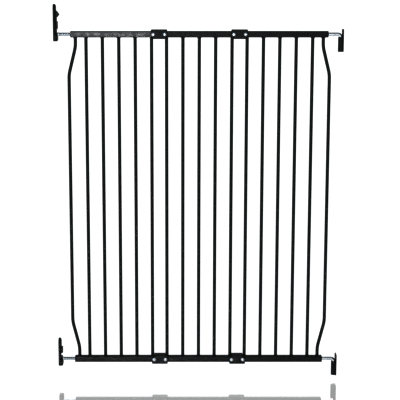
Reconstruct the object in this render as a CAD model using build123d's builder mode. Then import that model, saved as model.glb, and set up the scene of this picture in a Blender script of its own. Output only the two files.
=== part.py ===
"""Extra-tall safety gate: three barred steel panels, hung on lift-off hinges and held by a lock.

The hinges stand at +X and the lock at -X. The gate lies in the XZ plane with its front towards -Y.
Z = 0 is the foot of the lower hinge fitting. All sizes are in millimetres.
"""
import os

from build123d import *

os.makedirs("parts", exist_ok=True)

# Overall sizes
gate_height = 1002.0        # over the outer faces of the top and bottom rails
latch_reach = 51.5          # from a rail's end to the latch wall
hinge_reach = 46.2          # from a rail's end to the hinge wall

# Bars
bars_per_panel = 5
bar_pitch = 48.0            # within a panel
joint_pitch = 44.0          # between the two bars that stand beside a panel joint
end_pitch = 31.0            # from the last straight bar to the foot of the curved bar
bar_diameter = 9.5
bar_wall = 1.0
bow_offset = 20.0           # how far the curved bars swing out beyond their feet
bow_foot = 28.0             # from the rail to the first corner of the curved bar
bow_slope = 80.0            # height of its sloping stretch
bow_radius = 100.0          # bend radius on the centreline

# Rails
rail_side = 18.0
rail_wall = 1.2
rail_corner = 2.0
rail_overhang = 12.0        # from the foot of a curved bar to the end of the rail
joint_gap = 1.0             # between the ends of two rails inside a connector

# Panel connectors: two plastic half shells, two bolts and two nuts each
shell_length = 47.4
shell_wall = 4.4
shell_corner = 2.5
shell_edge_round = 1.3
shell_lip_gap = 0.35        # between the shell's inner lip and a bar
joint_bolt_spacing = 34.0
joint_bolt_diameter = 6.0
joint_bolt_head = 11.0
joint_bolt_head_height = 2.8
joint_bolt_head_round = 2.0
joint_nut_flats = 10.0
joint_nut_height = 3.2
nut_seat = 2.0              # plastic left under the nut

# Rail end plugs, threaded spindles and their nuts
plug_flange = 2.0
plug_round = 1.2
plug_body = 20.0
spindle_diameter = 10.0
spindle_inside = 42.0       # length inside the rail
spindle_chamfer = 1.0
spindle_nut_length = 8.0

# Hinges
hinge_bend = 8.0            # bend radius of the hinge bolt on its centreline
hinge_leg = 45.0            # from the rail's axis to the foot of the leg
socket_drop = 51.0          # from the rail's axis to the foot of the fitting
socket_top_drop = 9.5       # from the rail's axis to the top of the socket
socket_wall = 1.3
socket_floor = 2.5
bush_wall = 0.75
bush_flange = 1.5           # thickness of its rim
bush_rim = 1.0              # how far the rim stands out over the socket
hinge_plate_rise = 15.0     # from the rail's axis to the top of the plate
hinge_plate_width = 32.0
hinge_plate_corner = 6.0
hinge_plate_thickness = 2.4
hinge_plate_round = 0.9
hinge_leg_gap = 0.2         # between the leg of a hinge bolt and the plate
hinge_screw_y = 24.4
hinge_screw_z = 24.0
hinge_screw_drop = 30.0     # from the rail's axis to the middle of the four screws

# Latch fittings
latch_plate_width = 34.0
latch_plate_thickness = 7.6
latch_plate_head = 16.0     # corner radius at the upper end
latch_plate_round = 5.2     # rounding of its outer edges
latch_block_depth = 4.6     # of the notched block above the plate
latch_block_corner = 8.0
latch_block_round = 3.0
latch_block_rise = 3.8      # from the rail's axis to the block's top
notch_sink = 2.4            # how far the notch is sunk into the plate
latch_drop = 20.3           # from the rail's axis to the fitting's foot
upper_latch_rise = 87.5
lower_latch_rise = 65.0
latch_screw_drop = 13.5
upper_screw_rise = 80.0
lower_screw_rise = 28.0
screw_boss_length = 18.6
screw_boss_width = 20.0
screw_boss_height = 4.0     # above the plate
screw_boss_corner = 3.5
spindle_tip_gap = 0.8       # between the latch spindle's tip and the notch's floor
screw_hole = 4.4
screw_head = 8.0
hinge_screw_head = 7.2

# Lock slider on the upper latch fitting
lock_travel = 12.0
lock_width = 15.6
lock_foot_width = 21.6
lock_foot_thickness = 1.7
lock_slot_floor = 1.6
lock_foot_low = 10.0        # from the rail's axis to the ends of the foot
lock_foot_high = 58.0
lock_proud = 2.2            # how far the slider stands out over the plate
lock_nose_width = 9.6       # of the end that stands over the spindle
lock_bump_low = 16.0
lock_bump_high = 37.9
lock_bump_slope = 1.5
lock_bump_height = 4.8      # above the plate
thumb_low = 48.0
thumb_tip = 56.5
thumb_high = 67.5
thumb_height = 9.8          # above the plate
thumb_width = 24.0
thumb_round = 1.5

# Swing stop on the lower latch fitting
stop_thickness = 4.4
stop_rise = 12.3
stop_foot = 7.0             # depth below the rail's axis
stop_foot_width = 2.6

# Clearances
rail_fit = 0.1              # around a rail, each side
running_fit = 0.05          # radial, around a turning or sliding rod
loose_fit = 0.2             # radial, where a rod or bolt passes through
lock_fit = 0.2              # around the lock slider's foot
notch_fit = 0.3             # each side of the spindle in its notch
stop_fit = 0.1

# Sizes that follow
low_axis_z = socket_drop
high_axis_z = low_axis_z + gate_height - rail_side
joint_x = (bars_per_panel - 1) * bar_pitch / 2 + joint_pitch / 2
side_bar_x = joint_x + joint_pitch / 2
bow_x = side_bar_x + (bars_per_panel - 1) * bar_pitch + end_pitch
rail_end_x = bow_x + rail_overhang
left_wall_x = -rail_end_x - latch_reach
right_wall_x = rail_end_x + hinge_reach
middle_x = (left_wall_x + right_wall_x) / 2
rail_bore = rail_side - 2 * rail_wall
shell_inner = rail_side / 2 + rail_fit
shell_outer = shell_inner + shell_wall
joint_bolt_hole = joint_bolt_diameter + 2 * loose_fit
nut_pocket = joint_nut_height + loose_fit
shell_rear = shell_inner + nut_seat + nut_pocket
spindle_radius = spindle_diameter / 2
hinge_setback = hinge_plate_thickness + hinge_leg_gap + spindle_radius
hinge_x = right_wall_x - hinge_setback
bush_bore = spindle_radius + running_fit
bush_outer = bush_bore + bush_wall
socket_bore = bush_outer + running_fit
socket_outer = socket_bore + socket_wall
notch_radius = spindle_radius + notch_fit
notch_floor = latch_plate_thickness - notch_sink
channel_rise = lock_travel + notch_radius
latch_block_face = latch_plate_thickness + latch_block_depth
screw_boss_face = latch_plate_thickness + screw_boss_height
lock_face = latch_plate_thickness + lock_proud
lock_bump_face = latch_plate_thickness + lock_bump_height
thumb_face = latch_plate_thickness + thumb_height


def save(piece, label):
    """Name a finished piece and write it to its own file, with X = 0 midway between the walls."""
    placed = Pos(-middle_x, 0, 0) * piece.part
    placed.label = label
    export_step(placed, f"parts/{label}.step")


def front_plane(z, y=0.0):
    """A plane that faces the front, with its origin at height z and depth y."""
    return Plane(origin=(0, y, z), x_dir=(1, 0, 0), z_dir=(0, -1, 0))


def left_wall_plane(z, off=0.0):
    """A plane on the left wall, facing into the opening, raised by off."""
    return Plane(origin=(left_wall_x + off, 0, z), x_dir=(0, 1, 0), z_dir=(1, 0, 0))


def right_wall_plane(z, off=0.0):
    """A plane on the right wall, facing into the opening, raised by off."""
    return Plane(origin=(right_wall_x - off, 0, z), x_dir=(0, -1, 0), z_dir=(-1, 0, 0))


def across_plane(x, z):
    """A plane square to the rails, facing +X."""
    return Plane(origin=(x, 0, z), x_dir=(0, 1, 0), z_dir=(1, 0, 0))


# Panels

def make_rail(label, x_start, x_end, axis_z, bolt_xs):
    """A square tube with rounded corners, drilled for its connector bolts."""
    with BuildPart() as rail:
        with BuildSketch(across_plane(x_start, axis_z)):
            RectangleRounded(rail_side, rail_side, rail_corner)
            RectangleRounded(rail_bore, rail_bore, rail_corner - rail_wall, mode=Mode.SUBTRACT)
        extrude(amount=x_end - x_start)
        with BuildSketch(front_plane(axis_z)):
            with Locations(*[(x, 0) for x in bolt_xs]):
                Circle(joint_bolt_hole / 2)
        extrude(amount=rail_side, both=True, mode=Mode.SUBTRACT)
    save(rail, label)


def make_bar(label, x):
    """A straight round tube, welded between the two rails."""
    with BuildPart() as bar:
        with BuildSketch(Plane.XY.offset(low_axis_z + rail_side / 2)):
            with Locations((x, 0)):
                Circle(bar_diameter / 2)
                Circle(bar_diameter / 2 - bar_wall, mode=Mode.SUBTRACT)
        extrude(amount=gate_height - 2 * rail_side)
    save(bar, label)


def make_curved_bar(label, side):
    """The outer tube of the gate, which bows outwards between its feet."""
    foot_z = low_axis_z + rail_side / 2
    head_z = high_axis_z - rail_side / 2
    foot_x = side * bow_x
    bow_out_x = side * (bow_x + bow_offset)
    with BuildPart() as bar:
        with BuildLine() as route:
            FilletPolyline(
                (foot_x, 0, foot_z),
                (foot_x, 0, foot_z + bow_foot),
                (bow_out_x, 0, foot_z + bow_foot + bow_slope),
                (bow_out_x, 0, head_z - bow_foot - bow_slope),
                (foot_x, 0, head_z - bow_foot),
                (foot_x, 0, head_z),
                radius=bow_radius,
            )
        with BuildSketch(Plane.XY.offset(foot_z)):
            with Locations((foot_x, 0)):
                Circle(bar_diameter / 2)
                Circle(bar_diameter / 2 - bar_wall, mode=Mode.SUBTRACT)
        sweep(path=route.wire())
    save(bar, label)


for level, axis_z in (("top", high_axis_z), ("bottom", low_axis_z)):
    half_joint = joint_gap / 2
    inner_bolt = joint_x - joint_bolt_spacing / 2
    outer_bolt = joint_x + joint_bolt_spacing / 2
    make_rail(f"centre_{level}_rail", -joint_x + half_joint, joint_x - half_joint, axis_z,
              [-inner_bolt, inner_bolt])
    make_rail(f"left_{level}_rail", -rail_end_x, -joint_x - half_joint, axis_z, [-outer_bolt])
    make_rail(f"right_{level}_rail", joint_x + half_joint, rail_end_x, axis_z, [outer_bolt])

for number in range(bars_per_panel):
    step = number * bar_pitch
    make_bar(f"centre_bar_{number + 1}", step - (bars_per_panel - 1) * bar_pitch / 2)
    make_bar(f"left_bar_{number + 1}", -side_bar_x - step)
    make_bar(f"right_bar_{number + 1}", side_bar_x + step)

make_curved_bar("left_curved_bar", -1)
make_curved_bar("right_curved_bar", 1)


# Panel connectors

def make_shell(label, x, axis_z, bar_side, face):
    """Half a connector, clamped over the ends of two rails.

    bar_side is 1 where the bars stand above the rail and -1 where they hang below it.
    face is 1 for the front half and -1 for the rear half.
    """
    outer_y = shell_outer if face > 0 else shell_rear
    lip_half = joint_pitch / 2 - bar_diameter / 2 - shell_lip_gap
    with BuildPart() as shell:
        with BuildSketch(front_plane(axis_z)):
            with Locations((x, 0)):
                RectangleRounded(shell_length, 2 * shell_outer, shell_corner)
        extrude(amount=face * outer_y)
        outer_face = shell.faces().sort_by(Axis.Y)[0 if face > 0 else -1]
        fillet(outer_face.edges(), shell_edge_round)
        with BuildSketch(across_plane(x, axis_z)):
            RectangleRounded(2 * shell_inner, 2 * shell_inner, rail_corner)
        extrude(amount=shell_length, both=True, mode=Mode.SUBTRACT)
        lip_z = axis_z + bar_side * (shell_inner + shell_wall)
        for end in (-1, 1):
            with BuildSketch(front_plane(lip_z)):
                with Locations((x + end * (lip_half + shell_length / 2), 0)):
                    Rectangle(shell_length, 2 * (shell_wall + rail_fit))
            extrude(amount=2 * shell_rear, both=True, mode=Mode.SUBTRACT)
        with BuildSketch(front_plane(axis_z)):
            with Locations((x, 0)):
                with GridLocations(joint_bolt_spacing, 0, 2, 1):
                    Circle(joint_bolt_hole / 2)
        extrude(amount=face * 2 * shell_rear, mode=Mode.SUBTRACT)
        if face < 0:
            with BuildSketch(front_plane(axis_z, shell_rear - nut_pocket)):
                with Locations((x, 0)):
                    with GridLocations(joint_bolt_spacing, 0, 2, 1):
                        RegularPolygon(joint_nut_flats / 2 + loose_fit, 6, major_radius=False)
            extrude(amount=-nut_pocket, mode=Mode.SUBTRACT)
    save(shell, label)


def make_joint_bolts(label, x, axis_z):
    """The two domed bolts that clamp a connector from the front."""
    with BuildPart() as bolts:
        with BuildSketch(front_plane(axis_z, -shell_outer)):
            with Locations((x, 0)):
                with GridLocations(joint_bolt_spacing, 0, 2, 1):
                    Circle(joint_bolt_head / 2)
        extrude(amount=joint_bolt_head_height)
        rims = bolts.faces().filter_by(Plane.XZ).group_by(Axis.Y)[0].edges()
        fillet(rims, joint_bolt_head_round)
        with BuildSketch(front_plane(axis_z, -shell_outer)):
            with Locations((x, 0)):
                with GridLocations(joint_bolt_spacing, 0, 2, 1):
                    Circle(joint_bolt_diameter / 2)
        extrude(amount=-(shell_outer + shell_rear - loose_fit))
    save(bolts, label)


def make_joint_nuts(label, x, axis_z):
    """The two thin hexagon nuts held in the rear shell."""
    with BuildPart() as nuts:
        with BuildSketch(front_plane(axis_z, shell_rear - nut_pocket)):
            with Locations((x, 0)):
                with GridLocations(joint_bolt_spacing, 0, 2, 1):
                    RegularPolygon(joint_nut_flats / 2, 6, major_radius=False)
                    Circle(joint_bolt_diameter / 2, mode=Mode.SUBTRACT)
        extrude(amount=-joint_nut_height)
    save(nuts, label)


for side, x in (("left", -joint_x), ("right", joint_x)):
    for level, axis_z, bar_side in (("top", high_axis_z, -1), ("bottom", low_axis_z, 1)):
        stem = f"{side}_{level}_connector"
        make_shell(f"{stem}_front", x, axis_z, bar_side, 1)
        make_shell(f"{stem}_rear", x, axis_z, bar_side, -1)
        make_joint_bolts(f"{stem}_bolts", x, axis_z)
        make_joint_nuts(f"{stem}_nuts", x, axis_z)


# Rail ends

def make_plug(label, side, axis_z):
    """The plastic plug that closes a rail end and guides its spindle."""
    with BuildPart() as plug:
        with BuildSketch(across_plane(side * rail_end_x, axis_z)):
            RectangleRounded(rail_side, rail_side, rail_corner)
        extrude(amount=side * plug_flange)
        rim = plug.faces().sort_by(Axis.X)[-1 if side > 0 else 0]
        fillet(rim.edges(), plug_round)
        with BuildSketch(across_plane(side * rail_end_x, axis_z)):
            RectangleRounded(rail_bore - 2 * rail_fit, rail_bore - 2 * rail_fit, rail_corner - rail_wall)
        extrude(amount=-side * plug_body)
        with BuildSketch(across_plane(side * rail_end_x, axis_z)):
            Circle(spindle_radius + loose_fit)
        extrude(amount=plug_body + plug_flange, both=True, mode=Mode.SUBTRACT)
    save(plug, label)


def make_spindle_nut(label, side, axis_z):
    """The square nut behind a plug, in which the spindle is screwed in or out."""
    with BuildPart() as nut:
        with BuildSketch(across_plane(side * (rail_end_x - plug_body), axis_z)):
            RectangleRounded(rail_bore - 2 * rail_fit, rail_bore - 2 * rail_fit, rail_corner - rail_wall)
            Circle(spindle_radius + running_fit, mode=Mode.SUBTRACT)
        extrude(amount=-side * spindle_nut_length)
    save(nut, label)


def make_latch_bolt(label, axis_z):
    """The straight spindle that drops into a latch fitting's notch."""
    tip_x = left_wall_x + notch_floor + spindle_tip_gap
    with BuildPart() as bolt:
        with BuildSketch(across_plane(tip_x, axis_z)):
            Circle(spindle_radius)
        extrude(amount=-rail_end_x + spindle_inside - tip_x)
        chamfer(bolt.edges().filter_by(GeomType.CIRCLE), spindle_chamfer)
    save(bolt, label)


def make_hinge_bolt(label, axis_z):
    """The bent spindle: its leg drops into the hinge socket."""
    start_x = rail_end_x - spindle_inside
    with BuildPart() as bolt:
        with BuildLine() as route:
            FilletPolyline(
                (start_x, 0, axis_z),
                (hinge_x, 0, axis_z),
                (hinge_x, 0, axis_z - hinge_leg),
                radius=hinge_bend,
            )
        with BuildSketch(across_plane(start_x, axis_z)):
            Circle(spindle_radius)
        sweep(path=route.wire())
        chamfer(bolt.faces().sort_by(Axis.X)[0].edges(), spindle_chamfer)
        chamfer(bolt.faces().sort_by(Axis.Z)[0].edges(), spindle_chamfer)
    save(bolt, label)


for level, axis_z in (("top", high_axis_z), ("bottom", low_axis_z)):
    for side_name, side in (("left", -1), ("right", 1)):
        make_plug(f"{side_name}_{level}_plug", side, axis_z)
        make_spindle_nut(f"{side_name}_{level}_spindle_nut", side, axis_z)


# Hinge side

def make_hinge_bush(label, axis_z):
    """The nylon bush that turns in a socket, with a rim on the socket's top."""
    top_z = axis_z - socket_top_drop
    foot_z = axis_z - socket_drop + socket_floor + loose_fit
    with BuildPart() as bush:
        with BuildSketch(Plane.XY.offset(top_z)):
            with Locations((hinge_x, 0)):
                Circle(bush_outer + bush_rim)
        extrude(amount=bush_flange)
        with BuildSketch(Plane.XY.offset(foot_z)):
            with Locations((hinge_x, 0)):
                Circle(bush_outer)
        extrude(amount=top_z - foot_z)
        with BuildSketch(Plane.XY.offset(foot_z)):
            with Locations((hinge_x, 0)):
                Circle(bush_bore)
        extrude(amount=top_z - foot_z + bush_flange, mode=Mode.SUBTRACT)
    save(bush, label)


def make_hinge_fitting(label, axis_z):
    """The wall plate with the deep socket that carries a hinge bolt."""
    foot_z = axis_z - socket_drop
    top_z = axis_z - socket_top_drop
    plate_length = hinge_plate_rise + socket_drop
    plate_middle = axis_z + (hinge_plate_rise - socket_drop) / 2
    with BuildPart() as fitting:
        with BuildSketch(right_wall_plane(plate_middle)):
            RectangleRounded(hinge_plate_width, plate_length, hinge_plate_corner)
        extrude(amount=hinge_plate_thickness)
        rim = fitting.faces().sort_by(Axis.X)[0]
        fillet(rim.edges(), hinge_plate_round)
        with BuildSketch(Plane.XY.offset(foot_z)):
            with Locations((hinge_x, 0)):
                Circle(socket_outer)
            with Locations(((hinge_x + right_wall_x) / 2, 0)):
                Rectangle(hinge_setback, 2 * socket_outer)
        extrude(amount=top_z - foot_z)
        with BuildSketch(Plane.XY.offset(foot_z + socket_floor)):
            with Locations((hinge_x, 0)):
                Circle(socket_bore)
        extrude(amount=socket_drop, mode=Mode.SUBTRACT)
        with BuildSketch(Plane.XY.offset(top_z)):
            with Locations((hinge_x, 0)):
                Circle(bush_outer + bush_rim + loose_fit)
        extrude(amount=socket_drop, mode=Mode.SUBTRACT)
        with Locations(right_wall_plane(axis_z - hinge_screw_drop, hinge_plate_thickness)):
            with GridLocations(hinge_screw_y, hinge_screw_z, 2, 2):
                CounterSinkHole(screw_hole / 2, hinge_screw_head / 2)
    save(fitting, label)


for level, axis_z in (("upper", high_axis_z), ("lower", low_axis_z)):
    make_hinge_bolt(f"{level}_hinge_bolt", axis_z)
    make_hinge_bush(f"{level}_hinge_bush", axis_z)
    make_hinge_fitting(f"{level}_hinge_fitting", axis_z)
    make_latch_bolt(f"{level}_latch_bolt", axis_z)


# Latch side

def latch_body(axis_z, rise):
    """The plate with its block, and the U-shaped notch that holds the spindle's tip.

    Above the block a shallow channel lets the lifted tip swing away towards the rear.
    """
    plate_middle = axis_z + (rise - latch_drop) / 2
    block_middle = axis_z + (latch_block_rise - latch_drop) / 2
    with BuildPart() as body:
        with BuildSketch(left_wall_plane(plate_middle)):
            RectangleRounded(latch_plate_width, rise + latch_drop, latch_plate_head)
        extrude(amount=latch_plate_thickness)
        fillet(body.faces().sort_by(Axis.X)[-1].edges(), latch_plate_round)
        with BuildSketch(left_wall_plane(block_middle)):
            RectangleRounded(latch_plate_width, latch_block_rise + latch_drop, latch_block_corner)
        extrude(amount=latch_block_face)
        fillet(body.faces().sort_by(Axis.X)[-1].edges(), latch_block_round)
        with BuildSketch(left_wall_plane(axis_z, notch_floor)):
            Circle(notch_radius)
            with Locations((0, channel_rise / 2)):
                Rectangle(2 * notch_radius, channel_rise)
            with Locations((latch_plate_width / 2, (latch_block_rise + channel_rise) / 2)):
                Rectangle(latch_plate_width, channel_rise - latch_block_rise)
        extrude(amount=latch_block_face, mode=Mode.SUBTRACT)
    return body.part


upper_body = latch_body(high_axis_z, upper_latch_rise)
lower_body = latch_body(low_axis_z, lower_latch_rise)
upper_screws = ((high_axis_z - latch_screw_drop, latch_block_face),
                (high_axis_z + upper_screw_rise, latch_plate_thickness))
lower_screws = ((low_axis_z - latch_screw_drop, latch_block_face),
                (low_axis_z + lower_screw_rise, screw_boss_face))

with BuildPart() as upper_latch_fitting:
    add(upper_body)
    slot_low = lock_foot_low - lock_fit
    slot_high = lock_foot_high + lock_travel + lock_fit
    slot_middle = high_axis_z + (slot_low + slot_high) / 2
    with BuildSketch(left_wall_plane(slot_middle, lock_slot_floor)):
        Rectangle(lock_foot_width + 2 * lock_fit, slot_high - slot_low)
    extrude(amount=lock_foot_thickness + lock_fit, mode=Mode.SUBTRACT)
    with BuildSketch(left_wall_plane(slot_middle, lock_slot_floor)):
        Rectangle(lock_width + 2 * lock_fit, slot_high - slot_low)
    extrude(amount=latch_plate_thickness, mode=Mode.SUBTRACT)
    for z, face in upper_screws:
        with Locations(left_wall_plane(z, face)):
            CounterSinkHole(screw_hole / 2, screw_head / 2)
save(upper_latch_fitting, "upper_latch_fitting")

with BuildPart() as lock_slider:
    foot_back = lock_slot_floor + lock_fit / 2
    foot_middle = high_axis_z + (lock_foot_low + lock_foot_high) / 2
    nose_low = spindle_radius + notch_fit
    over_plate_x = left_wall_x + latch_plate_thickness + lock_fit
    face_x = left_wall_x + lock_face
    with BuildSketch(left_wall_plane(foot_middle, foot_back)):
        Rectangle(lock_foot_width, lock_foot_high - lock_foot_low)
    extrude(amount=lock_foot_thickness)
    with BuildSketch(left_wall_plane(foot_middle, foot_back)):
        Rectangle(lock_width, lock_foot_high - lock_foot_low)
    extrude(amount=lock_face - foot_back)
    with BuildSketch(left_wall_plane(high_axis_z + (nose_low + lock_foot_low) / 2, notch_floor + lock_fit)):
        Rectangle(lock_nose_width, lock_foot_low - nose_low)
    extrude(amount=lock_face - notch_floor - lock_fit)
    with BuildSketch(front_plane(high_axis_z)):
        with BuildLine():
            Polyline(
                (over_plate_x, lock_bump_low - lock_bump_slope),
                (face_x, lock_bump_low - lock_bump_slope),
                (left_wall_x + lock_bump_face, lock_bump_low),
                (left_wall_x + lock_bump_face, lock_bump_high - lock_bump_slope),
                (face_x, lock_bump_high),
                (over_plate_x, lock_bump_high),
                close=True,
            )
        make_face()
    extrude(amount=lock_width / 2, both=True)
    with BuildSketch(front_plane(high_axis_z)):
        with BuildLine():
            Polyline(
                (over_plate_x, thumb_low),
                (face_x, thumb_low),
                (left_wall_x + thumb_face, thumb_tip),
                (face_x, thumb_high),
                (over_plate_x, thumb_high),
                close=True,
            )
        make_face()
    extrude(amount=thumb_width / 2, both=True)
    tip_edges = lock_slider.edges().filter_by(Axis.Y).sort_by(Axis.X)[-1:]
    fillet(tip_edges, thumb_round)
save(lock_slider, "lock_slider")

with BuildPart() as lower_latch_fitting:
    add(lower_body)
    with BuildSketch(left_wall_plane(low_axis_z + lower_screw_rise)):
        RectangleRounded(screw_boss_width, screw_boss_length, screw_boss_corner)
    extrude(amount=screw_boss_face)
    stop_inner_y = notch_radius + stop_fit
    pocket_low = -stop_foot - stop_fit
    pocket_width = stop_inner_y + stop_thickness + stop_fit
    pocket_middle = low_axis_z + (pocket_low + latch_block_rise) / 2
    with BuildSketch(left_wall_plane(pocket_middle, latch_plate_thickness)):
        with Locations((-pocket_width / 2, 0)):
            Rectangle(pocket_width, latch_block_rise - pocket_low)
    extrude(amount=stop_foot_width + 2 * stop_fit, mode=Mode.SUBTRACT)
    for z, face in lower_screws:
        with Locations(left_wall_plane(z, face)):
            CounterSinkHole(screw_hole / 2, screw_head / 2)
save(lower_latch_fitting, "lower_latch_fitting")

with BuildPart() as swing_stop:
    stop_x = left_wall_x + latch_plate_thickness + stop_fit
    stop_face_x = left_wall_x + latch_block_face - stop_fit
    with BuildSketch(front_plane(low_axis_z, -stop_inner_y)):
        with BuildLine():
            Polyline(
                (stop_x, -stop_foot),
                (stop_x + stop_foot_width, -stop_foot),
                (stop_x + stop_foot_width, latch_block_rise + stop_fit),
                (stop_face_x, latch_block_rise + stop_fit),
                (stop_face_x, stop_rise),
                (stop_x, stop_rise),
                close=True,
            )
        make_face()
    extrude(amount=stop_thickness)
save(swing_stop, "swing_stop")
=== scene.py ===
"""Looks for the extra-tall safety gate: fine meshes, finishes, studio light and camera."""

import logging
import math
from dataclasses import dataclass, field
from enum import Enum
from typing import Callable, Sequence

import bmesh
import bpy
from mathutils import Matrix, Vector


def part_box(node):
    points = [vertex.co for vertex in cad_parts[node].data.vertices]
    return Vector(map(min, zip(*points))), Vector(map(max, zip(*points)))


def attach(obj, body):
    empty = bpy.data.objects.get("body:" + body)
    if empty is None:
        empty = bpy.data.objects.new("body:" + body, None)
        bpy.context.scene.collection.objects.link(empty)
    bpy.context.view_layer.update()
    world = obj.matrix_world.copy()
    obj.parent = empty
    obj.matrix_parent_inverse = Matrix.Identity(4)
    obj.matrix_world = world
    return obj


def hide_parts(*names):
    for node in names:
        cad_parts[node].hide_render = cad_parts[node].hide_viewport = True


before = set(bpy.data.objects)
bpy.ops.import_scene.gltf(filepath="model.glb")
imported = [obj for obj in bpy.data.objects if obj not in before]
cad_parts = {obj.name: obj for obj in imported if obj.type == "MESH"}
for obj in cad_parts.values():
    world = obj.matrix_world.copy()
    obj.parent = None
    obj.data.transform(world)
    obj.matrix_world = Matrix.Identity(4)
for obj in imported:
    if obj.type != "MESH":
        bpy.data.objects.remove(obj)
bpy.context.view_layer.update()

LOG = logging.getLogger("safety_gate")
MM = 0.001
TURN = 2 * math.pi
SLACK = 1e-9

Number = bpy.types.NodeSocket | float
Colour = tuple[float, float, float]
Tint = bpy.types.NodeSocket | Colour
Ring = list[tuple[float, float]]
Section = Callable[[float], Ring]


class Level(Enum):
    """The two rails of the gate."""

    TOP = "top"
    BOTTOM = "bottom"


class Side(Enum):
    """The two ends of the gate, named as they are met from the front."""

    LEFT = "left"
    RIGHT = "right"


class Bay(Enum):
    """The three panels of the gate."""

    LEFT = "left"
    CENTRE = "centre"
    RIGHT = "right"


class Spot(Enum):
    """The two heights at which the gate is fixed to the wall."""

    UPPER = "upper"
    LOWER = "lower"


class Slot(Enum):
    """The record's material slots."""

    COAT = "powder_coat"
    PLASTIC = "black_plastic"
    ZINC = "zinc_steel"
    NYLON = "nylon"


# Shader node groups. Cells are counted in a metre, but the coarse grain's and the mottle's are
# shares of the fine grain's.

MIX_COLOUR_INPUTS = (6, 7)
MIX_COLOUR_OUTPUT = 2
COARSE_CELLS = 0.36
MOTTLE_CELLS = 0.13
MOTTLE_RANGE = (0.35, 0.65)
SCUFF_CELLS = 160.0
SCUFF_LEAN = (0.4, 0.7, 0.2)
SCUFF_STRETCH = (1.0, 1.0, 9.0)
SCUFF_RANGE = (0.60, 0.74)
PATCH_CELLS = 22.0
PATCH_RANGE = (0.50, 0.68)
SPECK_CELLS = 420.0
SPECK_RANGE = (0.42, 0.70)
LEAST_SPECKS = 0.25
UPWARD_RANGE = (0.55, 1.0)


@dataclass
class Tree:
    """A node tree with short calls to add nodes and join them."""

    tree: bpy.types.NodeTree

    def add(self, kind: str, **values: object) -> bpy.types.Node:
        """Add a node.

        Args:
            kind: the node's Blender type.
            values: attributes of the node, set as they are given.

        Returns:
            The new node.
        """
        node = self.tree.nodes.new(kind)
        for name, value in values.items():
            setattr(node, name, value)
        return node

    def join(self, source: bpy.types.NodeSocket, target: bpy.types.NodeSocket) -> None:
        """Link an output to an input."""
        self.tree.links.new(source, target)

    def feed(self, given: Number | Tint, target: bpy.types.NodeSocket) -> None:
        """Link a socket to an input, or set a value on it.

        Args:
            given: a socket, a number or a colour.
            target: the input.
        """
        if isinstance(given, bpy.types.NodeSocket):
            self.join(given, target)
        else:
            target.default_value = (*given, 1.0) if isinstance(given, tuple) else given

    def math(self, operation: str, first: Number, second: Number = 0.0) -> bpy.types.NodeSocket:
        """Add a maths node.

        Args:
            operation: the node's operation.
            first: a socket or a number.
            second: a socket or a number.

        Returns:
            The node's output.
        """
        node = self.add("ShaderNodeMath", operation=operation, use_clamp=False)
        self.feed(first, node.inputs[0])
        self.feed(second, node.inputs[1])
        return node.outputs[0]

    def remap(self, value: bpy.types.NodeSocket, low: Number, high: Number,
              from_low: float = 0.0, from_high: float = 1.0) -> bpy.types.NodeSocket:
        """Map a value from one range to another, clamped.

        Args:
            value: the socket to map.
            low: the result at from_low, a number or a socket.
            high: the result at from_high, a number or a socket.
            from_low: the lower end of the range that is read.
            from_high: the upper end of the range that is read.

        Returns:
            The mapped value.
        """
        node = self.add("ShaderNodeMapRange", clamp=True)
        self.join(value, node.inputs["Value"])
        node.inputs["From Min"].default_value = from_low
        node.inputs["From Max"].default_value = from_high
        self.feed(low, node.inputs["To Min"])
        self.feed(high, node.inputs["To Max"])
        return node.outputs["Result"]

    def noise(self, vector: bpy.types.NodeSocket, scale: Number, detail: float,
              roughness: float = 0.5) -> bpy.types.NodeSocket:
        """Add a noise texture.

        Args:
            vector: the coordinates that it reads.
            scale: cells in a metre, a number or a socket.
            detail: the number of octaves.
            roughness: how strong the fine octaves are.

        Returns:
            The noise's factor.
        """
        node = self.add("ShaderNodeTexNoise")
        self.join(vector, node.inputs["Vector"])
        self.feed(scale, node.inputs["Scale"])
        node.inputs["Detail"].default_value = detail
        node.inputs["Roughness"].default_value = roughness
        return node.outputs["Fac"]

    def mix_colour(self, factor: bpy.types.NodeSocket, first: Tint,
                   second: Tint) -> bpy.types.NodeSocket:
        """Blend two colours.

        Args:
            factor: how much of the second colour shows.
            first: a colour or a socket.
            second: a colour or a socket.

        Returns:
            The blended colour.
        """
        node = self.add("ShaderNodeMix", data_type="RGBA", clamp_factor=True)
        self.join(factor, node.inputs["Factor"])
        for given, number in zip((first, second), MIX_COLOUR_INPUTS):
            self.feed(given, node.inputs[number])
        return node.outputs[MIX_COLOUR_OUTPUT]


def new_group(name: str, numbers: dict[str, float],
              outputs: Sequence[str]) -> tuple[Tree, bpy.types.Node, bpy.types.Node]:
    """Make an empty shader node group with number sockets.

    Args:
        name: the group's name.
        numbers: each input's name and value.
        outputs: the names of the outputs.

    Returns:
        The group's tree, its input node and its output node.
    """
    group = bpy.data.node_groups.new(name, "ShaderNodeTree")
    for socket, value in numbers.items():
        made = group.interface.new_socket(socket, in_out="INPUT", socket_type="NodeSocketFloat")
        made.default_value = value
    for socket in outputs:
        group.interface.new_socket(socket, in_out="OUTPUT", socket_type="NodeSocketFloat")
    tree = Tree(group)
    return tree, tree.add("NodeGroupInput"), tree.add("NodeGroupOutput")


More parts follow.
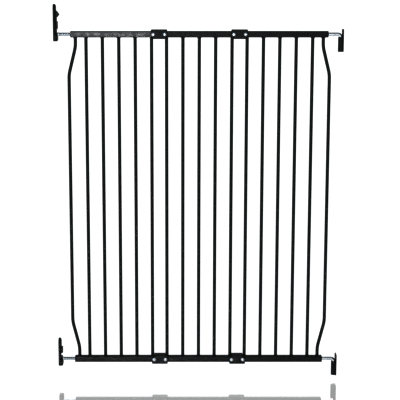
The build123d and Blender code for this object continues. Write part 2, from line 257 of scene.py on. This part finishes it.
def grain_group() -> bpy.types.NodeTree:
    """Build the grain of a coated or moulded surface.

    Returns:
        A group that puts out a height for bump and a slow mottle.
    """
    tree, given, out = new_group("surface_grain", {"Cells per metre": 900.0, "Coarse share": 0.5},
                                 ("Height", "Mottle"))
    place = tree.add("ShaderNodeTexCoord").outputs["Object"]
    cells = given.outputs["Cells per metre"]
    share = given.outputs["Coarse share"]
    fine = tree.noise(place, cells, detail=2.0, roughness=0.6)
    coarse = tree.noise(place, tree.math("MULTIPLY", cells, COARSE_CELLS), detail=1.0)
    fine_part = tree.math("MULTIPLY", fine, tree.math("SUBTRACT", 1.0, share))
    coarse_part = tree.math("MULTIPLY", coarse, share)
    tree.join(tree.math("ADD", coarse_part, fine_part), out.inputs["Height"])
    slow = tree.noise(place, tree.math("MULTIPLY", cells, MOTTLE_CELLS), detail=3.0, roughness=0.65)
    tree.join(tree.remap(slow, 0.0, 1.0, *MOTTLE_RANGE), out.inputs["Mottle"])
    return tree.tree


def marks_group() -> bpy.types.NodeTree:
    """Build handling marks and settled dust.

    Returns:
        A group that puts out a mask of fine scuffs and a mask of dust on faces that look up.
    """
    tree, given, out = new_group("handling_marks", {"Scuffs": 0.5, "Dust": 0.5}, ("Scuff", "Dust"))
    place = tree.add("ShaderNodeTexCoord").outputs["Object"]
    stretch = tree.add("ShaderNodeMapping")
    tree.join(place, stretch.inputs["Vector"])
    stretch.inputs["Rotation"].default_value = SCUFF_LEAN
    stretch.inputs["Scale"].default_value = SCUFF_STRETCH
    lines = tree.noise(stretch.outputs["Vector"], SCUFF_CELLS, detail=4.0, roughness=0.7)
    patches = tree.noise(place, PATCH_CELLS, detail=2.0)
    scuff = tree.math("MULTIPLY", tree.remap(lines, 0.0, 1.0, *SCUFF_RANGE),
                      tree.remap(patches, 0.0, 1.0, *PATCH_RANGE))
    tree.join(tree.math("MULTIPLY", scuff, given.outputs["Scuffs"]), out.inputs["Scuff"])
    facing = tree.add("ShaderNodeNewGeometry").outputs["Normal"]
    split = tree.add("ShaderNodeSeparateXYZ")
    tree.join(facing, split.inputs[0])
    upward = tree.remap(split.outputs["Z"], 0.0, 1.0, *UPWARD_RANGE)
    specks = tree.noise(place, SPECK_CELLS, detail=5.0, roughness=0.7)
    dust = tree.math("MULTIPLY", upward, tree.remap(specks, LEAST_SPECKS, 1.0, *SPECK_RANGE))
    tree.join(tree.math("MULTIPLY", dust, given.outputs["Dust"]), out.inputs["Dust"])
    return tree.tree


@dataclass(frozen=True)
class Effects:
    """The node groups that the finishes share."""

    grain: bpy.types.NodeTree
    marks: bpy.types.NodeTree


def place_group(tree: Tree, group: bpy.types.NodeTree, **values: float) -> bpy.types.Node:
    """Put a shared group into a material.

    Args:
        tree: the material's tree.
        group: the shared group.
        values: values for its inputs, with underscores for the spaces in their names.

    Returns:
        The group node.
    """
    node = tree.add("ShaderNodeGroup", node_tree=group)
    for name, value in values.items():
        node.inputs[name.replace("_", " ")].default_value = value
    return node


def start_material(name: str) -> tuple[bpy.types.Material, Tree, bpy.types.Node]:
    """Make a material with a bare Principled shader.

    Args:
        name: the material's name.

    Returns:
        The material, its tree and the shader node.
    """
    material = bpy.data.materials.new(name)
    material.use_nodes = True
    material.node_tree.nodes.clear()
    tree = Tree(material.node_tree)
    shader = tree.add("ShaderNodeBsdfPrincipled")
    output = tree.add("ShaderNodeOutputMaterial")
    tree.join(shader.outputs[0], output.inputs["Surface"])
    return material, tree, shader


def add_bump(tree: Tree, shader: bpy.types.Node, height: bpy.types.NodeSocket,
             strength: float, depth: float) -> None:
    """Feed a height to a shader's normal.

    Args:
        tree: the material's tree.
        shader: the Principled shader.
        height: the height socket.
        strength: the bump's strength.
        depth: the bump's depth in metres.
    """
    bump = tree.add("ShaderNodeBump")
    bump.inputs["Strength"].default_value = strength
    bump.inputs["Distance"].default_value = depth
    tree.join(height, bump.inputs["Height"])
    tree.join(bump.outputs["Normal"], shader.inputs["Normal"])


# Finishes

MOTTLE_LIFT = 1.5
DUST_ROUGHNESS = 0.3
SCUFF_POLISH = 0.12


@dataclass(frozen=True)
class DarkFinish:
    """A black skin with grain, scuffs and dust, whether sprayed or moulded."""

    name: str
    colour: Colour
    worn_colour: Colour
    dust_colour: Colour = (0.10, 0.10, 0.097)
    cells_per_metre: float = 900.0
    coarse_share: float = 0.5
    smooth: float = 0.34
    rough: float = 0.54
    specular: float = 0.36
    bump_strength: float = 0.4
    bump_depth: float = 0.25 * MM
    scuffs: float = 0.5
    dust: float = 0.25

    def material(self, effects: Effects) -> bpy.types.Material:
        """Build the finish.

        Args:
            effects: the shared node groups.

        Returns:
            The material.
        """
        material, tree, shader = start_material(self.name)
        grain = place_group(tree, effects.grain, Cells_per_metre=self.cells_per_metre,
                            Coarse_share=self.coarse_share)
        marks = place_group(tree, effects.marks, Scuffs=self.scuffs, Dust=self.dust)
        lifted = tuple(part * MOTTLE_LIFT for part in self.colour)
        colour = tree.mix_colour(grain.outputs["Mottle"], self.colour, lifted)
        colour = tree.mix_colour(marks.outputs["Scuff"], colour, self.worn_colour)
        colour = tree.mix_colour(marks.outputs["Dust"], colour, self.dust_colour)
        tree.join(colour, shader.inputs["Base Color"])
        rough = tree.remap(grain.outputs["Mottle"], self.smooth, self.rough)
        dulled = tree.math("MULTIPLY", marks.outputs["Dust"], DUST_ROUGHNESS)
        polished = tree.math("MULTIPLY", marks.outputs["Scuff"], SCUFF_POLISH)
        rough = tree.math("SUBTRACT", tree.math("ADD", rough, dulled), polished)
        tree.join(rough, shader.inputs["Roughness"])
        shader.inputs["Specular IOR Level"].default_value = self.specular
        add_bump(tree, shader, grain.outputs["Height"], self.bump_strength, self.bump_depth)
        return material


@dataclass(frozen=True)
class ZincFinish:
    """Bright zinc plate with a faint blue cast and cloudy patches."""

    name: str
    colour: Colour = (0.74, 0.78, 0.81)
    cloud_colour: Colour = (0.58, 0.63, 0.67)
    stain_colour: Colour = (0.30, 0.29, 0.27)
    cells_per_metre: float = 1500.0
    coarse_share: float = 0.3
    smooth: float = 0.30
    rough: float = 0.48
    bump_strength: float = 0.15
    bump_depth: float = 0.06 * MM
    scuffs: float = 0.6
    dust: float = 0.25

    def material(self, effects: Effects) -> bpy.types.Material:
        """Build the finish.

        Args:
            effects: the shared node groups.

        Returns:
            The material.
        """
        material, tree, shader = start_material(self.name)
        grain = place_group(tree, effects.grain, Cells_per_metre=self.cells_per_metre,
                            Coarse_share=self.coarse_share)
        marks = place_group(tree, effects.marks, Scuffs=self.scuffs, Dust=self.dust)
        colour = tree.mix_colour(grain.outputs["Mottle"], self.colour, self.cloud_colour)
        colour = tree.mix_colour(marks.outputs["Scuff"], colour, self.stain_colour)
        colour = tree.mix_colour(marks.outputs["Dust"], colour, self.stain_colour)
        tree.join(colour, shader.inputs["Base Color"])
        rough = tree.remap(grain.outputs["Mottle"], self.smooth, self.rough)
        dulled = tree.math("MULTIPLY", marks.outputs["Dust"], DUST_ROUGHNESS)
        tree.join(tree.math("ADD", rough, dulled), shader.inputs["Roughness"])
        shader.inputs["Metallic"].default_value = 1.0
        add_bump(tree, shader, grain.outputs["Height"], self.bump_strength, self.bump_depth)
        return material


@dataclass
class Paintbox:
    """Every slot's material, and one rail's smoother coat with a painted sheen, each made once."""

    effects: Effects
    materials: dict[Slot, bpy.types.Material] = field(default_factory=dict)
    sheen: bpy.types.Material | None = None

    def mix(self) -> None:
        """Make each slot's material."""
        coat = DarkFinish(name="powder_coat", colour=(0.015, 0.0180, 0.0190),
                          worn_colour=(0.075, 0.077, 0.079), cells_per_metre=820.0,
                          smooth=0.38, rough=0.54, bump_strength=0.35, bump_depth=0.2 * MM)
        plastic = DarkFinish(name="moulded_plastic", colour=(0.013, 0.0153, 0.0162),
                             worn_colour=(0.07, 0.071, 0.073), cells_per_metre=1900.0,
                             coarse_share=0.2, smooth=0.40, rough=0.54, bump_strength=0.3,
                             bump_depth=0.12 * MM, scuffs=0.35, dust=0.2)
        nylon = DarkFinish(name="smooth_nylon", colour=(0.02, 0.02, 0.021),
                           worn_colour=(0.08, 0.08, 0.08), cells_per_metre=700.0,
                           smooth=0.25, rough=0.36, bump_strength=0.12, scuffs=0.2, dust=0.15)
        for slot, finish in ((Slot.COAT, coat), (Slot.PLASTIC, plastic), (Slot.NYLON, nylon),
                             (Slot.ZINC, ZincFinish(name="zinc_plate"))):
            self.materials[slot] = finish.material(self.effects)
        # The left top rail's coat: smoother, with a lighter, bluer colour that is a painted sheen.
        self.sheen = DarkFinish(name="powder_coat_painted_sheen", colour=(0.038, 0.042, 0.048),
                                worn_colour=(0.12, 0.122, 0.13), cells_per_metre=520.0,
                                coarse_share=0.7, smooth=0.24, rough=0.40, specular=0.52,
                                bump_strength=0.24, bump_depth=0.2 * MM, scuffs=0.6,
                                dust=0.3).material(self.effects)

    def dress(self, piece: bpy.types.Object, slot: Slot) -> None:
        """Give a piece one finish all over."""
        piece.data.materials.clear()
        piece.data.materials.append(self.materials[slot])

    def dress_node(self, node: str, slot: Slot) -> None:
        """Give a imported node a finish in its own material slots.

        Args:
            node: the node's name.
            slot: its finish.
        """
        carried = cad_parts[node]
        for place in carried.material_slots:
            place.material = self.materials[slot]
        if not carried.material_slots:
            carried.data.materials.append(self.materials[slot])
        LOG.info("dressed %s in %s", node, slot.value)


# Mesh making

@dataclass(frozen=True)
class Span:
    """A straight or round stretch of a route."""

    begun: float
    run: float
    start: Vector
    heading: Vector
    turn: float = 0.0


@dataclass
class Route:
    """A line in the gate's own plane, made of straight runs joined by tangent arcs."""

    corners: list[Vector]
    radius: float = 0.0
    spans: list[Span] = field(default_factory=list)
    length: float = 0.0

    def __post_init__(self) -> None:
        """Work out the straight and round spans."""
        here = self.corners[0]
        for before, corner, after in zip(self.corners, self.corners[1:], self.corners[2:]):
            come = (corner - before).normalized()
            go = (after - corner).normalized()
            turn = math.atan2(come.x * go.z - come.z * go.x, come.dot(go))
            reach = self.radius * math.tan(abs(turn) / 2)
            meets = corner - come * reach
            self._add((meets - here).length, here, (meets - here).normalized())
            self._add(self.radius * abs(turn), meets, come, turn)
            here = corner + go * reach
        last = self.corners[-1] - here
        self._add(last.length, here, last.normalized())

    def _add(self, run: float, start: Vector, heading: Vector, turn: float = 0.0) -> None:
        """Add a span at the end of the route.

        Args:
            run: its length.
            start: its first point.
            heading: its heading there.
            turn: the angle that it turns through, or 0 for a straight one.
        """
        self.spans.append(Span(self.length, run, start, heading, turn))
        self.length += run

    def at(self, along: float) -> tuple[Vector, Vector]:
        """Find the place and the heading at a distance.

        Args:
            along: the distance from the start of the route.

        Returns:
            The point and the unit tangent.
        """
        span = next((each for each in reversed(self.spans) if each.begun <= along + SLACK),
                    self.spans[0])
        past = min(max(along - span.begun, 0.0), span.run)
        ahead = span.heading
        if not span.turn:
            return span.start + ahead * past, ahead
        side = Vector((-ahead.z, 0.0, ahead.x)) * math.copysign(1.0, span.turn)
        swept = past / self.radius
        forth = ahead * self.radius * math.sin(swept)
        aside = side * self.radius * (1 - math.cos(swept))
        return span.start + forth + aside, ahead * math.cos(swept) + side * math.sin(swept)


def make_piece(name: str, work: bmesh.types.BMesh, smooth_angle: float = 40.0) -> bpy.types.Object:
    """Turn a bmesh into a scene object with outward faces.

    Args:
        name: the piece's name.
        work: the mesh, which is freed.
        smooth_angle: edges that turn more than this, in degrees, stay sharp.

    Returns:
        The piece.
    """
    bmesh.ops.recalc_face_normals(work, faces=work.faces)
    for face in work.faces:
        face.smooth = True
    for edge in work.edges:
        if len(edge.link_faces) == 2 and edge.calc_face_angle() > math.radians(smooth_angle):
            edge.smooth = False
    mesh = bpy.data.meshes.new(name)
    work.to_mesh(mesh)
    work.free()
    piece = bpy.data.objects.new(name, mesh)
    bpy.context.scene.collection.objects.link(piece)
    return piece


def join_rings(work: bmesh.types.BMesh, rings: Sequence[list[bmesh.types.BMVert]]) -> None:
    """Put faces between successive rings and close both ends.

    Args:
        work: the mesh that holds the rings.
        rings: rings with the same number of points.
    """
    for ring, following in zip(rings, rings[1:]):
        for number in range(len(ring)):
            after = (number + 1) % len(ring)
            work.faces.new((ring[number], ring[after], following[after], following[number]))
    work.faces.new(rings[0])
    work.faces.new(list(reversed(rings[-1])))


def skin(work: bmesh.types.BMesh, route: Route, stations: Sequence[float],
         section: Section) -> None:
    """Cover a route with a closed tube.

    Args:
        work: the mesh to add to.
        route: the centreline.
        stations: distances along it at which a ring stands.
        section: gives a ring's points, across and towards +Y, at a distance.
    """
    rings = []
    for along in stations:
        point, heading = route.at(along)
        across = Vector((-heading.z, 0.0, heading.x))
        rings.append([work.verts.new(point + across * out + Vector((0, back, 0)))
                      for out, back in section(along)])
    join_rings(work, rings)


def spread(low: float, high: float, step: float) -> list[float]:
    """Space numbers evenly from low to high, no more than step apart."""
    count = max(1, math.ceil((high - low) / step))
    return [low + (high - low) * number / count for number in range(count + 1)]


def circle(radius: float, points: int) -> Ring:
    """Give the points of a circle."""
    return [(radius * math.cos(TURN * n / points), radius * math.sin(TURN * n / points))
            for n in range(points)]


def rounded_square(half: float, corner: float, per_corner: int = 7) -> Ring:
    """Give the points of a square with round corners.

    Args:
        half: half the side.
        corner: the corner radius.
        per_corner: points on each corner.

    Returns:
        The points in order.
    """
    points = []
    for quarter in range(4):
        middle = TURN / 4 * quarter + TURN / 8
        centre = (half - corner) * math.sqrt(2)
        for number in range(per_corner):
            angle = middle + TURN / 4 * (number / (per_corner - 1) - 0.5)
            points.append((centre * math.cos(middle) + corner * math.cos(angle),
                           centre * math.sin(middle) + corner * math.sin(angle)))
    return points


def finish_piece(piece: bpy.types.Object, body: str, slot: Slot, paints: Paintbox,
                 *nodes: str) -> None:
    """Dress a piece, fix it to its body and say which nodes it stands for.

    Args:
        piece: the new piece.
        body: the body that carries it.
        slot: its finish.
        paints: the materials.
        nodes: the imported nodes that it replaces.
    """
    paints.dress(piece, slot)
    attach(piece, body)
    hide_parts(*nodes)
    LOG.info("built %s in place of %s", piece.name, ", ".join(nodes))


# Sub-assemblies

@dataclass
class WeldedBars:
    """Bars that swell into a weld where each end meets a rail."""

    paints: Paintbox
    bar_points: int = 40
    flare_height: float = 4.4 * MM
    flare_width: float = 2.6 * MM
    flare_power: float = 2.4
    broad_ripple: float = 0.10
    fine_ripple: float = 0.06
    weld_reach: float = 1.3
    weld_step: float = 0.35 * MM
    far_end_seed: int = 5

    def flare(self, distance: float, angle: float, seed: int) -> float:
        """Give the swelling of a weld.

        Args:
            distance: from the rail's face.
            angle: around the bar.
            seed: makes each weld a little different.

        Returns:
            How far the skin stands out from the bar.
        """
        ripple = (1 + self.broad_ripple * math.sin(3 * angle + seed)
                  + self.fine_ripple * math.sin(7 * angle + 2 * seed))
        share = max(0.0, 1 - distance / (self.flare_height * ripple))
        return self.flare_width * ripple * share ** self.flare_power

    def bar_section(self, radius: float, length: float, seed: int, scale: float) -> Section:
        """Make a bar's section, which swells at both ends.

        Args:
            radius: the bar's radius.
            length: the length of its route.
            seed: makes each weld a little different.
            scale: the size of its welds.

        Returns:
            A function of the distance along the bar.
        """
        def section(along: float) -> Ring:
            """Give the ring at a distance.

            Args:
                along: the distance along the bar.

            Returns:
                The ring's points.
            """
            distance = min(along, length - along)
            end = seed + (0 if along < length / 2 else self.far_end_seed)
            ring = []
            for across, deep in circle(radius, self.bar_points):
                stretch = 1 + scale * self.flare(distance, math.atan2(deep, across), end) / radius
                ring.append((across * stretch, deep * stretch))
            return ring
        return section

    def stations(self, length: float, step: float) -> list[float]:
        """Place rings close together at the welds and further apart between them.

        Args:
            length: the length of the bar.
            step: the longest distance between rings away from the welds.

        Returns:
            Distances along the bar.
        """
        weld = self.flare_height * self.weld_reach
        near = spread(0.0, weld, self.weld_step)
        return near + spread(weld, length - weld, step)[1:-1] + [length - d for d in reversed(near)]


@dataclass
class Panel(WeldedBars):
    """One barred panel: two rails and the straight bars between them."""

    bay: Bay = Bay.CENTRE
    bars: int = 5
    bar_step: float = 60 * MM
    joint_weld_scale: float = 0.16
    rail_corner: float = 2.0 * MM
    rail_chamfer: float = 0.25 * MM
    rail_step: float = 40 * MM

    def make_bars(self) -> None:
        """Build the straight bars."""
        for number in range(1, self.bars + 1):
            node = f"{self.bay.value}_bar_{number}"
            low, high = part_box(node)
            middle = (low + high) / 2
            route = Route([Vector((middle.x, middle.y, low.z)),
                           Vector((middle.x, middle.y, high.z))])
            beside_joint = number == 1 or (number == self.bars and self.bay is Bay.CENTRE)
            scale = self.joint_weld_scale if beside_joint else 1.0
            work = bmesh.new()
            skin(work, route, self.stations(route.length, self.bar_step),
                 self.bar_section((high.x - low.x) / 2, route.length, number, scale))
            finish_piece(make_piece(f"{node}_skin", work), "gate", Slot.COAT, self.paints, node)

    def rail_section(self, half: float, length: float) -> Section:
        """Make a rail's section, which is drawn in at both ends.

        Args:
            half: half the side of the rail.
            length: the rail's length.

        Returns:
            A function of the distance along the rail.
        """
        def section(along: float) -> Ring:
            """Give the ring at a distance."""
            inset = max(0.0, self.rail_chamfer - min(along, length - along))
            return rounded_square(half - inset, self.rail_corner)
        return section

    def make_rails(self) -> None:
        """Build the two rails."""
        for level in Level:
            node = f"{self.bay.value}_{level.value}_rail"
            low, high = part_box(node)
            middle = (low + high) / 2
            route = Route([Vector((low.x, middle.y, middle.z)),
                           Vector((high.x, middle.y, middle.z))])
            near = [0.0, self.rail_chamfer]
            far = [route.length - self.rail_chamfer, route.length]
            places = near + spread(near[-1], far[0], self.rail_step)[1:-1] + far
            work = bmesh.new()
            skin(work, route, places, self.rail_section((high.z - low.z) / 2, route.length))
            piece = make_piece(f"{node}_skin", work)
            finish_piece(piece, "gate", Slot.COAT, self.paints, node)
            # This rail's coat is smoother than the others', and lighter and bluer: a painted sheen.
            if self.bay is Bay.LEFT and level is Level.TOP:
                piece.data.materials[0] = self.paints.sheen

    def build(self) -> None:
        """Build the whole panel."""
        self.make_rails()
        self.make_bars()


@dataclass
class CurvedBar(WeldedBars):
    """The bar at an end of the gate, which bows outwards between its feet."""

    side: Side = Side.LEFT
    weld_seed: int = 9
    ring_step: float = 4 * MM
    bow_foot: float = 28 * MM
    bow_slope: float = 80 * MM
    bow_radius: float = 100 * MM
    bar_radius: float = 4.75 * MM

    def build(self) -> None:
        """Build the curved bar."""
        node = f"{self.side.value}_curved_bar"
        low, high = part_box(node)
        outward = -1 if self.side is Side.LEFT else 1
        foot = high.x - self.bar_radius if outward < 0 else low.x + self.bar_radius
        bow = low.x + self.bar_radius if outward < 0 else high.x - self.bar_radius
        heights = (low.z, low.z + self.bow_foot, low.z + self.bow_foot + self.bow_slope)
        lower = [Vector((x, 0, z)) for x, z in zip((foot, foot, bow), heights)]
        upper = [Vector((point.x, 0, low.z + high.z - point.z)) for point in reversed(lower)]
        route = Route(lower + upper, self.bow_radius)
        work = bmesh.new()
        skin(work, route, self.stations(route.length, self.ring_step),
             self.bar_section(self.bar_radius, route.length, self.weld_seed, 1.0))
        finish_piece(make_piece(f"{node}_skin", work), "gate", Slot.COAT, self.paints, node)


@dataclass
class Connector:
    """A joint between two panels: two half shells, two bolts and two nuts."""

    side: Side
    level: Level
    paints: Paintbox
    spacing: float = 34 * MM
    head_radius: float = 5.5 * MM
    head_height: float = 2.8 * MM
    shank_radius: float = 3.0 * MM
    rim_chamfer: float = 0.15 * MM
    rim_height: float = 0.55 * MM
    dome_steps: int = 8
    dome_sweep: float = 0.8 * TURN / 4
    socket_radius: float = 1.6 * MM
    socket_depth: float = 0.9 * MM
    socket_lip: float = 0.35 * MM
    lip_hexagonal: float = 0.4
    drill_point: float = 0.15
    drill_narrowing: float = 0.3
    bolt_turns: tuple[float, float] = (0.3, 0.75)
    sharp_angle: float = 32.0
    points: int = 48

    def head_rings(self) -> list[tuple[float, float, float]]:
        """Lay out a bolt's head: an edge, a dome and a hexagon socket.

        Returns:
            Each ring's radius, its height above the shell and how hexagonal it is.
        """
        rim, crown = self.rim_height, self.head_height
        rings = [(self.shank_radius, 0.0, 0.0), (self.head_radius - self.rim_chamfer, 0.0, 0.0),
                 (self.head_radius, self.rim_chamfer, 0.0), (self.head_radius, rim, 0.0)]
        for step in range(1, self.dome_steps + 1):
            angle = self.dome_sweep * step / self.dome_steps
            rings.append((self.head_radius * math.cos(angle),
                          rim + (crown - rim) * math.sin(angle), 0.0))
        rings += [(self.socket_radius + self.socket_lip, crown, self.lip_hexagonal),
                  (self.socket_radius, crown - self.rim_chamfer, 1.0),
                  (self.socket_radius, crown - self.socket_depth, 1.0),
                  (self.socket_radius * self.drill_narrowing,
                   crown - self.socket_depth * (1 + self.drill_point), 0.0)]
        return rings

    def ring_radius(self, radius: float, hexagonal: float, angle: float) -> float:
        """Blend a circle towards a hexagon at an angle."""
        within = (angle % (TURN / 6)) - TURN / 12
        return radius * (1 - hexagonal + hexagonal / math.cos(within))

    def make_bolts(self) -> None:
        """Build both bolts with domed heads and hexagon sockets."""
        node = f"{self.side.value}_{self.level.value}_connector_bolts"
        low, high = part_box(node)
        middle = (low + high) / 2
        face = low.y + self.head_height
        work = bmesh.new()
        outline = [(self.shank_radius, face - high.y, 0.0)] + self.head_rings()
        for shift, turn in zip((-self.spacing / 2, self.spacing / 2), self.bolt_turns):
            rings = []
            for radius, rise, hexagonal in outline:
                ring = []
                for number in range(self.points):
                    angle = TURN * number / self.points
                    out = self.ring_radius(radius, hexagonal, angle)
                    across = middle.x + shift + out * math.cos(angle + turn)
                    up = middle.z + out * math.sin(angle + turn)
                    ring.append(work.verts.new((across, face - rise, up)))
                rings.append(ring)
            join_rings(work, rings)
        finish_piece(make_piece(f"{node}_domed", work, self.sharp_angle), "gate", Slot.ZINC,
                     self.paints, node)

    def build(self) -> None:
        """Build the bolts and dress the moulded halves and the nuts."""
        stem = f"{self.side.value}_{self.level.value}_connector"
        self.make_bolts()
        for half in ("front", "rear"):
            self.paints.dress_node(f"{stem}_{half}", Slot.PLASTIC)
        self.paints.dress_node(f"{stem}_nuts", Slot.ZINC)


@dataclass
class Spindle:
    """A spindle, either straight and threaded to its tip or bent and threaded in the rail only."""

    node: str
    body: str
    paints: Paintbox
    bent: bool = False
    radius: float = 5.0 * MM
    pitch: float = 1.5 * MM
    depth: float = 0.75 * MM
    per_pitch: int = 14
    points: int = 40
    tip: float = 1.0 * MM
    bend: float = 8.0 * MM
    plain_end: float = 9.0 * MM
    bent_thread_end: float = 46.0 * MM
    ring_step: float = 0.5 * MM
    flank_steepness: float = 1.25
    crest_flat: float = 0.12
    sharp_angle: float = 60.0

    def route(self) -> tuple[Route, float, float]:
        """Find the centreline and the threaded stretch.

        Returns:
            The route, and where along it the thread begins and ends.
        """
        low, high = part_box(self.node)
        if self.bent:
            axis = high.z - self.radius
            line = Route([Vector((low.x, 0, axis)), Vector((high.x - self.radius, 0, axis)),
                          Vector((high.x - self.radius, 0, low.z))], self.bend)
            return line, self.tip, self.bent_thread_end
        axis = (low.z + high.z) / 2
        line = Route([Vector((low.x, 0, axis)), Vector((high.x, 0, axis))])
        return line, self.plain_end, line.length - self.tip

    def section(self, length: float, begin: float, end: float) -> Section:
        """Make the section of a rod that is threaded between two places.

        Args:
            length: the rod's length.
            begin: where the thread begins.
            end: where the thread ends.

        Returns:
            A function of the distance along the rod.
        """
        def ring_at(along: float) -> Ring:
            """Give the ring at a distance.

            Args:
                along: the distance along the rod.

            Returns:
                The ring's points.
            """
            room = min(along, length - along)
            outer = self.radius - max(0.0, self.tip - room)
            run_out = min(1.0, max(0.0, min(along - begin, end - along) / self.pitch))
            ring = []
            for number in range(self.points):
                phase = (along / self.pitch - number / self.points) % 1.0
                flank = self.flank_steepness * abs(2 * phase - 1) - self.crest_flat
                groove = min(1.0, max(0.0, flank))
                radius = min(outer, self.radius - self.depth * groove * run_out)
                angle = TURN * number / self.points
                ring.append((radius * math.cos(angle), radius * math.sin(angle)))
            return ring
        return ring_at

    def build(self) -> None:
        """Build the spindle."""
        route, begin, end = self.route()
        step = self.pitch / self.per_pitch
        places = spread(0.0, begin, self.ring_step) + spread(begin, end, step)[1:]
        places += spread(end, route.length, self.ring_step)[1:]
        work = bmesh.new()
        skin(work, route, places, self.section(route.length, begin, end))
        finish_piece(make_piece(f"{self.node}_threaded", work, self.sharp_angle), self.body,
                     Slot.ZINC, self.paints, self.node)


@dataclass
class WallFittings:
    """The moulded fittings on both walls, the plugs in the rail ends and what sits in them."""

    paints: Paintbox

    def build(self) -> None:
        """Dress every carried node of the fittings."""
        for spot in Spot:
            self.paints.dress_node(f"{spot.value}_hinge_fitting", Slot.PLASTIC)
            self.paints.dress_node(f"{spot.value}_latch_fitting", Slot.PLASTIC)
            self.paints.dress_node(f"{spot.value}_hinge_bush", Slot.NYLON)
        for side in Side:
            for level in Level:
                self.paints.dress_node(f"{side.value}_{level.value}_plug", Slot.PLASTIC)
                self.paints.dress_node(f"{side.value}_{level.value}_spindle_nut", Slot.ZINC)
        self.paints.dress_node("lock_slider", Slot.PLASTIC)
        self.paints.dress_node("swing_stop", Slot.PLASTIC)


@dataclass(frozen=True)
class Lamp:
    """A soft rectangular lamp: where it hangs, what it faces, its size and its watts."""

    name: str
    place: Vector
    aim: Vector
    size: tuple[float, float]
    power: float

    def hang(self) -> None:
        """Add the lamp to the scene, out of the camera's sight."""
        data = bpy.data.lights.new(self.name, "AREA")
        data.shape = "RECTANGLE"
        data.size, data.size_y = self.size
        data.energy = self.power
        lamp = bpy.data.objects.new(self.name, data)
        lamp.location = self.place
        lamp.rotation_euler = (self.aim - self.place).to_track_quat("-Z", "Y").to_euler()
        lamp.visible_camera = False
        bpy.context.scene.collection.objects.link(lamp)


LAMPS = (
    Lamp("front_box", Vector((-0.5, -4.2, 2.7)), Vector((0, 0, 0.6)), (2.4, 2.0), 32.0),
    Lamp("rail_sheen", Vector((-0.42, -4.4, 0.88)), Vector((-0.22, 0, 1.03)), (0.52, 0.34), 46.0),
    Lamp("left_fill", Vector((-3.2, -1.6, 1.6)), Vector((0, 0, 0.5)), (1.2, 2.0), 16.0),
)


@dataclass
class Studio:
    """A pale floor, soft lights and the camera."""

    floor_drop: float = 16 * MM
    floor_half: float = 60.0
    floor_cells: float = 2.0
    floor_tints: tuple[Colour, Colour] = ((0.93, 0.93, 0.93), (0.96, 0.96, 0.96))
    floor_roughness: tuple[float, float] = (0.03, 0.05)
    floor_glow: float = 0.49
    camera_place: tuple[float, float, float] = (-0.0584, -3.6, 1.158)
    camera_pitch: float = math.radians(90 - 9.87)
    lens: float = 109.76
    sensor: float = 36.0
    shift: tuple[float, float] = (0.0538, 0.0093)
    sight: float = 500.0
    sky_tint: Colour = (0.97, 0.99, 1.0)
    sky_turnover: tuple[float, float] = (-0.1, 0.6)
    backdrop_glow: float = 0.62
    front_glow: float = 0.20
    plain_glow: float = 1.1
    print_gamma: float = 0.55

    def make_floor(self) -> None:
        """Lay a wide pale floor that mirrors the gate softly."""
        work = bmesh.new()
        bmesh.ops.create_grid(work, x_segments=2, y_segments=2, size=self.floor_half)
        mesh = bpy.data.meshes.new("floor")
        work.to_mesh(mesh)
        work.free()
        floor = bpy.data.objects.new("floor", mesh)
        floor.location.z = -self.floor_drop
        bpy.context.scene.collection.objects.link(floor)
        material, tree, shader = start_material("studio_floor")
        place = tree.add("ShaderNodeTexCoord").outputs["Object"]
        cloud = tree.noise(place, self.floor_cells, detail=2.0)
        tree.join(tree.mix_colour(cloud, *self.floor_tints), shader.inputs["Base Color"])
        tree.join(tree.remap(cloud, *self.floor_roughness), shader.inputs["Roughness"])
        shader.inputs["Metallic"].default_value = 1.0
        shader.inputs["Emission Color"].default_value = (1.0, 1.0, 1.0, 1.0)
        shader.inputs["Emission Strength"].default_value = self.floor_glow
        floor.data.materials.append(material)

    def make_world(self) -> None:
        """Surround the gate with a glow, bright behind and dim in front, and plain to the eye."""
        world = bpy.data.worlds.new("studio")
        bpy.context.scene.world = world
        world.use_nodes = True
        world.node_tree.nodes.clear()
        tree = Tree(world.node_tree)
        heading = tree.add("ShaderNodeSeparateXYZ")
        tree.join(tree.add("ShaderNodeTexCoord").outputs["Generated"], heading.inputs[0])
        glow = tree.remap(heading.outputs["Y"], self.front_glow, self.backdrop_glow,
                          *self.sky_turnover)
        seen = tree.add("ShaderNodeLightPath").outputs["Is Camera Ray"]
        background = tree.add("ShaderNodeBackground")
        background.inputs["Color"].default_value = (*self.sky_tint, 1.0)
        plain = tree.math("MULTIPLY", seen, self.plain_glow)
        tree.join(tree.math("MAXIMUM", glow, plain), background.inputs["Strength"])
        tree.join(background.outputs[0], tree.add("ShaderNodeOutputWorld").inputs["Surface"])

    def make_camera(self) -> None:
        """Place the camera in front of the gate, looking down at it."""
        data = bpy.data.cameras.new("camera")
        data.lens = self.lens
        data.sensor_width = self.sensor
        data.shift_x, data.shift_y = self.shift
        data.clip_end = self.sight
        camera = bpy.data.objects.new("camera", data)
        camera.location = self.camera_place
        camera.rotation_euler = (self.camera_pitch, 0.0, 0.0)
        bpy.context.scene.collection.objects.link(camera)
        bpy.context.scene.camera = camera

    def build(self) -> None:
        """Set up the whole studio."""
        self.make_camera()
        self.make_floor()
        self.make_world()
        for lamp in LAMPS:
            lamp.hang()
        bpy.context.scene.view_settings.view_transform = "Standard"
        bpy.context.scene.view_settings.gamma = self.print_gamma


def main() -> None:
    """Build every sub-assembly in order."""
    logging.basicConfig(level=logging.INFO, format="%(name)s: %(message)s")
    Studio().build()
    paints = Paintbox(Effects(grain_group(), marks_group()))
    paints.mix()
    for bay in Bay:
        Panel(paints, bay=bay).build()
    for side in Side:
        CurvedBar(paints, side=side).build()
    for side in Side:
        for level in Level:
            Connector(side, level, paints).build()
    for spot in Spot:
        Spindle(f"{spot.value}_hinge_bolt", "hinge_bolts", paints, bent=True).build()
        Spindle(f"{spot.value}_latch_bolt", f"{spot.value}_latch_bolt", paints).build()
    WallFittings(paints).build()


if __name__ == "__main__":
    main()
